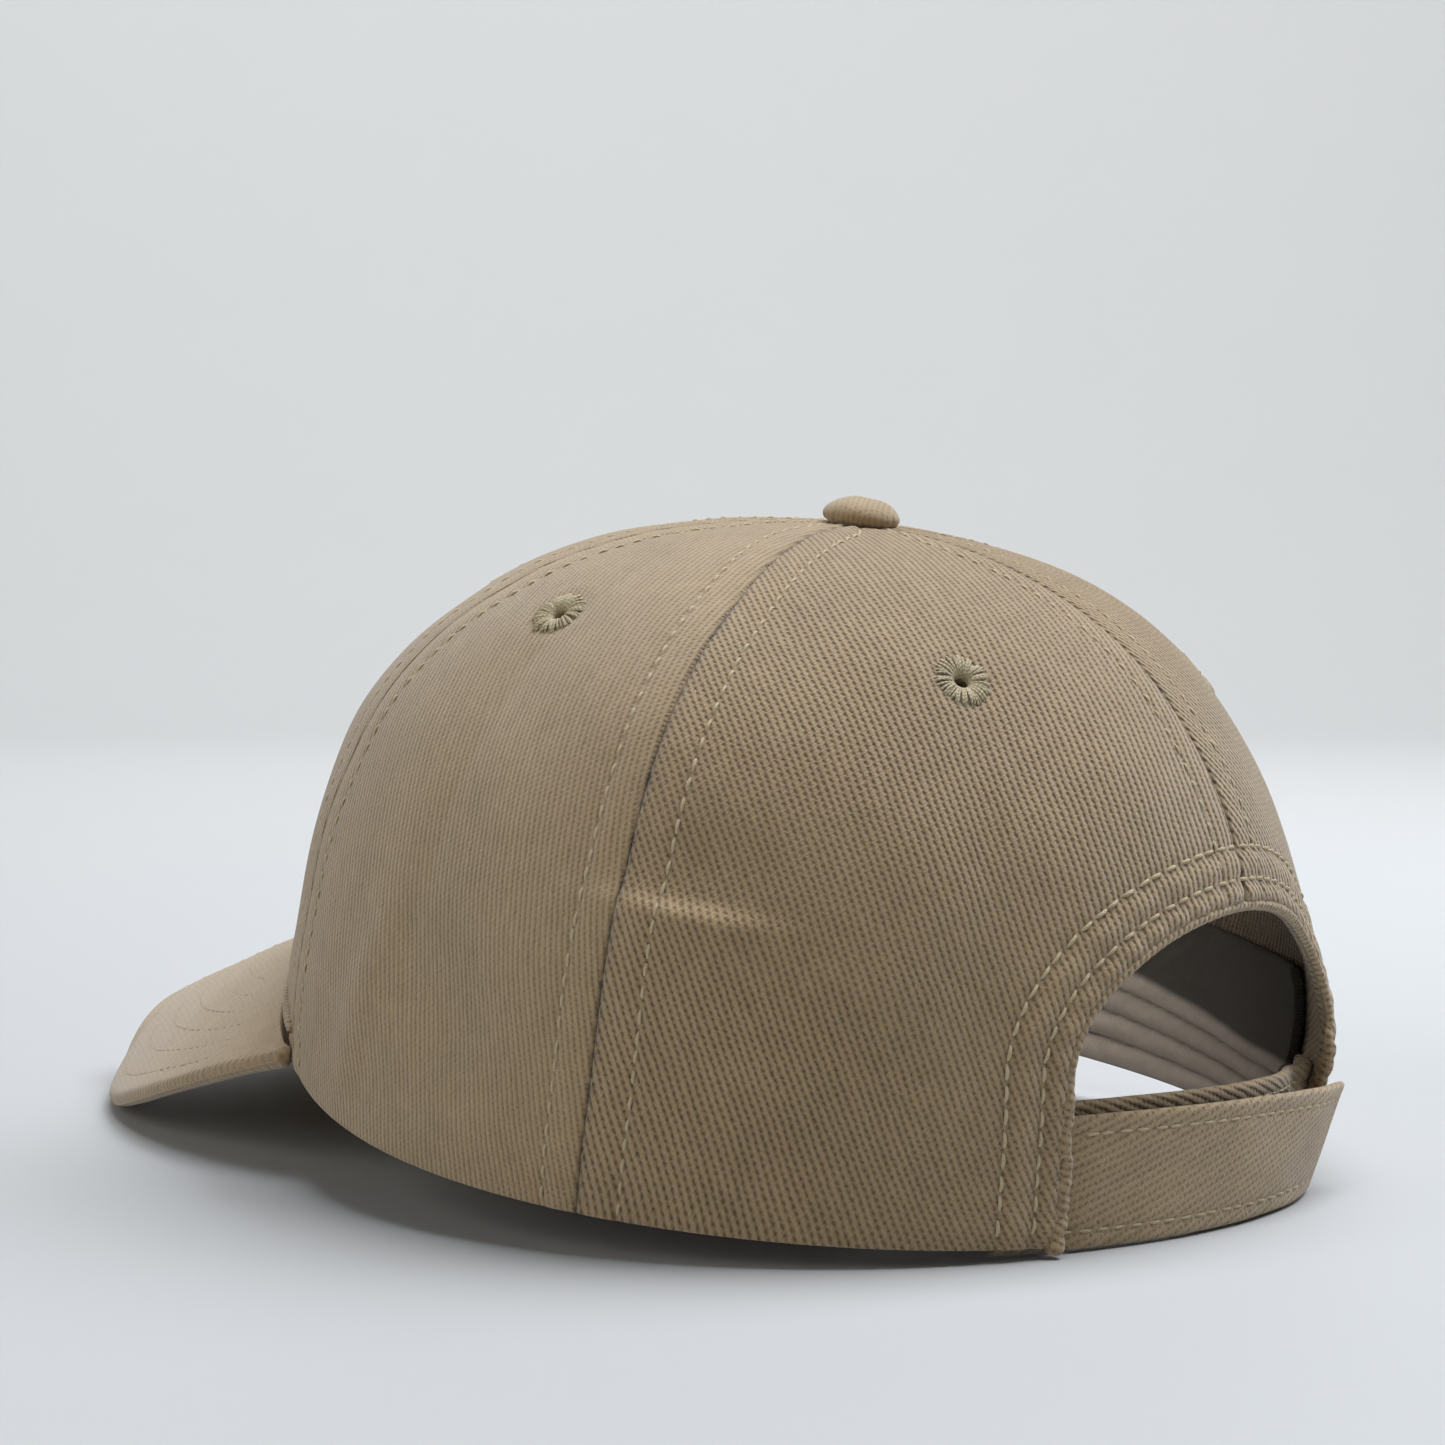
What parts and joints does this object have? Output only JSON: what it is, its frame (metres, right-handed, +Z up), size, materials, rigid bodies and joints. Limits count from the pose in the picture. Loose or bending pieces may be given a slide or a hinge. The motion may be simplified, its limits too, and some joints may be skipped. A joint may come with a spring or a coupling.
{
  "type": "baseball cap",
  "caption": "Structured baseball cap in plain khaki twill with a curved visor, sewn eyelets, a top button and a hook-and-loop back strap closure.",
  "frame": {"origin": "on the surface the cap stands on, under the centre of its box", "axes": "+Z up, -Y along the visor, +X towards the wearer's left"},
  "size_m": [0.179, 0.263, 0.1218],
  "materials": {
    "twill": "matt cotton twill, khaki",
    "buckram": "stiff open mesh, dark grey",
    "seam_tape": "plain woven tape",
    "sweatband": "soft twill band with stitched channels",
    "thread": "polyester thread, slight sheen",
    "visor_board": "flexible polyethylene sheet",
    "hook": "moulded hooks",
    "loop": "brushed loop pile",
    "button_metal": "pressed sheet"
  },
  "bodies": {
    "crown_and_visor": {"front_panel_left": "twill", "front_panel_right": "twill", "side_panel_left": "twill", "side_panel_right": "twill", "back_panel_left": "twill", "back_panel_right": "twill", "opening_facing": "twill", "opening_hem_left": "twill", "opening_hem_right": "twill", "outer_strap_root": "twill", "inner_strap_root": "twill", "visor_top_cover": "twill", "visor_bottom_cover": "twill", "button_cover": "twill", "buckram_left": "buckram", "buckram_right": "buckram", "seam_tape_front": "seam_tape", "seam_tape_back": "seam_tape", "seam_tape_front_side_left": "seam_tape", "seam_tape_back_side_left": "seam_tape", "seam_tape_front_side_right": "seam_tape", "seam_tape_back_side_right": "seam_tape", "sweatband": "sweatband", "eyelet_front_left": "thread", "eyelet_front_right": "thread", "eyelet_side_left": "thread", "eyelet_side_right": "thread", "eyelet_back_left": "thread", "eyelet_back_right": "thread", "visor_board": "visor_board", "button_shell": "button_metal", "button_backing": "button_metal"},
    "outer_strap_flap": {"outer_strap": "twill", "hook_tape": "hook"},
    "inner_strap_flap": {"inner_strap": "twill", "loop_tape": "loop"}
  },
  "joints": [
    {"name": "outer_strap_fold", "type": "hinge", "parent": "crown_and_visor", "child": "outer_strap_flap", "pos_m": [0.034, 0.119, 0.011], "axis": [0, 0, -1], "range_deg": [0, 110]},
    {"name": "inner_strap_fold", "type": "hinge", "parent": "crown_and_visor", "child": "inner_strap_flap", "pos_m": [-0.034, 0.1188, 0.011], "axis": [0, 0, -1], "range_deg": [0, 80]}
  ]
}
